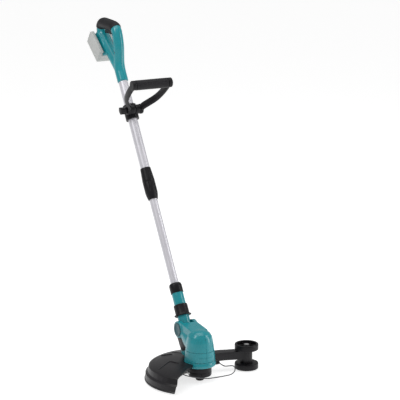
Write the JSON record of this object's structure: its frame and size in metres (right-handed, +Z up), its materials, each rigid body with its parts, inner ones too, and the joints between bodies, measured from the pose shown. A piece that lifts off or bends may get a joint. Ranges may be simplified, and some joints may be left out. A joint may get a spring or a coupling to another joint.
{
  "type": "string trimmer",
  "caption": "Telescopic battery string trimmer with loop handle, D-shaped front handle, tilting motor head, guard and edging wheels.",
  "frame": {"origin": "on the spool's axis at the bottom of the bump knob", "axes": "+X the user's right, +Y forward, +Z up along the spool's axis with the cutting plane level"},
  "size_m": [0.363, 0.8044, 0.9727],
  "materials": {
    "teal_shell": "satin moulded teal plastic",
    "teal_dark": "darker teal plastic",
    "black_plastic": "fine-textured black plastic",
    "guard_black": "satin black guard plastic",
    "soft_rubber": "soft-touch rubber",
    "alloy": "satin anodised",
    "steel": "bright steel",
    "dark_wire": "black coated steel wire",
    "pale_plastic": "pale grey plastic",
    "cell_wrap": "shrink-wrapped cells",
    "copper": "enamelled copper and laminations",
    "magnet": "ferrite",
    "lead": "coiled lead jacket",
    "nylon": "translucent nylon line"
  },
  "bodies": {
    "handle": {"handle_shell_right": "teal_shell", "handle_shell_left": "teal_shell", "soft_grip": "soft_rubber", "trigger_pin": "steel", "switch_unit": "black_plastic", "terminal_block": "black_plastic", "handle_screws": "steel", "upper_tube": "alloy", "collar_sleeve": "black_plastic", "inner_lead": "lead", "collet": "pale_plastic"},
    "trigger": {"trigger": "black_plastic"},
    "lock_off": {"lock_off_button": "black_plastic"},
    "battery": {"battery_case": "pale_plastic", "battery_lid": "pale_plastic", "battery_cells": "cell_wrap"},
    "battery_release": {"battery_button": "black_plastic"},
    "twist_nut": {"twist_nut": "black_plastic"},
    "front_clamp": {"clamp_saddle": "black_plastic", "toothed_washers": "black_plastic", "clamp_bolt": "steel"},
    "clamp_knob": {"clamp_knob": "black_plastic"},
    "front_handle": {"front_loop": "black_plastic", "front_grip": "soft_rubber"},
    "lower_shaft": {"lower_tube": "alloy", "guide_bush": "black_plastic", "top_ring": "black_plastic", "swivel_sleeve": "teal_shell"},
    "release_ring": {"release_ring": "black_plastic"},
    "neck": {"neck": "teal_shell"},
    "motor_head": {"pivot_pin": "steel", "tilt_spring": "steel", "pivot_cap": "teal_dark", "motor_housing_right": "teal_shell", "motor_housing_left": "teal_shell", "head_screws": "steel", "side_panel": "black_plastic", "motor_can": "steel", "motor_magnets": "magnet", "brush_plate": "black_plastic", "motor_bearings": "steel", "guard": "guard_black", "line_cutter": "steel", "wire_bosses": "black_plastic", "wheel_arm": "black_plastic", "wheel_axle": "steel"},
    "tilt_button": {"tilt_button": "teal_dark"},
    "rotor": {"armature": "copper", "motor_shaft": "steel", "drive_cap": "black_plastic", "spool_cover": "black_plastic", "eyelet": "steel", "cutting_line": "nylon", "bump_spring": "steel"},
    "line_feed": {"line_spool": "pale_plastic", "line_winding": "nylon", "bump_knob": "black_plastic"},
    "flower_guard": {"flower_wire": "dark_wire"},
    "upper_wheel": {"upper_wheel": "black_plastic"},
    "lower_wheel": {"lower_wheel": "black_plastic"}
  },
  "joints": [
    {"name": "trigger_pull", "type": "hinge", "parent": "handle", "child": "trigger", "pos_m": [0, -0.56493, 0.94629], "axis": [-1, 0, 0], "range_deg": [0, 7], "stiffness_Nm_per_rad": 1.2, "springref_deg": -5.73},
    {"name": "lock_off_press", "type": "slide", "parent": "handle", "child": "lock_off", "axis": [1, 0, 0], "range_m": [0, 0.003], "stiffness_N_per_m": 500, "springref_m": -0.002},
    {"name": "battery_slide", "type": "slide", "parent": "handle", "child": "battery", "axis": [0, -0.7986, 0.6018], "range_m": [0, 0.06]},
    {"name": "battery_release_press", "type": "slide", "parent": "battery", "child": "battery_release", "axis": [0, 0.7986, -0.6018], "range_m": [0, 0.0025], "stiffness_N_per_m": 500, "springref_m": -0.002},
    {"name": "twist_nut_turn", "type": "hinge", "parent": "handle", "child": "twist_nut", "pos_m": [0, -0.31816, 0.50514], "axis": [0, -0.5299, 0.848], "range_deg": [0, 120]},
    {"name": "shaft_telescope", "type": "slide", "parent": "handle", "child": "lower_shaft", "axis": [0, -0.5299, 0.848], "range_m": [-0.04, 0.2]},
    {"name": "front_clamp_slide", "type": "slide", "parent": "handle", "child": "front_clamp", "axis": [0, -0.5299, 0.848], "range_m": [-0.1, 0.04]},
    {"name": "clamp_knob_turn", "type": "hinge", "parent": "front_clamp", "child": "clamp_knob", "pos_m": [0, -0.4233, 0.72245], "axis": [1, 0, 0], "range_deg": [0, 360]},
    {"name": "front_handle_tilt", "type": "hinge", "parent": "front_clamp", "child": "front_handle", "pos_m": [0, -0.4233, 0.72245], "axis": [1, 0, 0], "range_deg": [-30, 40]},
    {"name": "release_ring_slide", "type": "slide", "parent": "lower_shaft", "child": "release_ring", "axis": [0, -0.5299, 0.848], "range_m": [0, 0.006], "stiffness_N_per_m": 700, "springref_m": -0.004},
    {"name": "head_swivel", "type": "hinge", "parent": "lower_shaft", "child": "neck", "pos_m": [0, -0.11574, 0.18119], "axis": [0, -0.5299, 0.848], "range_deg": [0, 180]},
    {"name": "head_tilt", "type": "hinge", "parent": "neck", "child": "motor_head", "pos_m": [0, -0.085, 0.132], "axis": [1, 0, 0], "range_deg": [-30, 15]},
    {"name": "tilt_button_press", "type": "slide", "parent": "motor_head", "child": "tilt_button", "axis": [-1, 0, 0], "range_m": [0, 0.0015], "stiffness_N_per_m": 600, "springref_m": -0.002, "deforming": ["tilt_spring"]},
    {"name": "spool_spin", "type": "hinge", "parent": "motor_head", "child": "rotor", "pos_m": [0, 0, 0], "axis": [0, 0, 1], "continuous": true},
    {"name": "bump_feed", "type": "slide", "parent": "rotor", "child": "line_feed", "axis": [0, 0, 1], "range_m": [0, 0.0045], "stiffness_N_per_m": 800, "springref_m": -0.004, "deforming": ["bump_spring"]},
    {"name": "flower_guard_slide", "type": "slide", "parent": "motor_head", "child": "flower_guard", "axis": [0, 1, 0], "range_m": [-0.022, 0]},
    {"name": "upper_wheel_spin", "type": "hinge", "parent": "motor_head", "child": "upper_wheel", "pos_m": [-0.168, -0.026, 0.063], "axis": [0, 0, 1], "continuous": true},
    {"name": "lower_wheel_spin", "type": "hinge", "parent": "motor_head", "child": "lower_wheel", "pos_m": [-0.168, -0.026, 0.01], "axis": [0, 0, 1], "continuous": true}
  ]
}
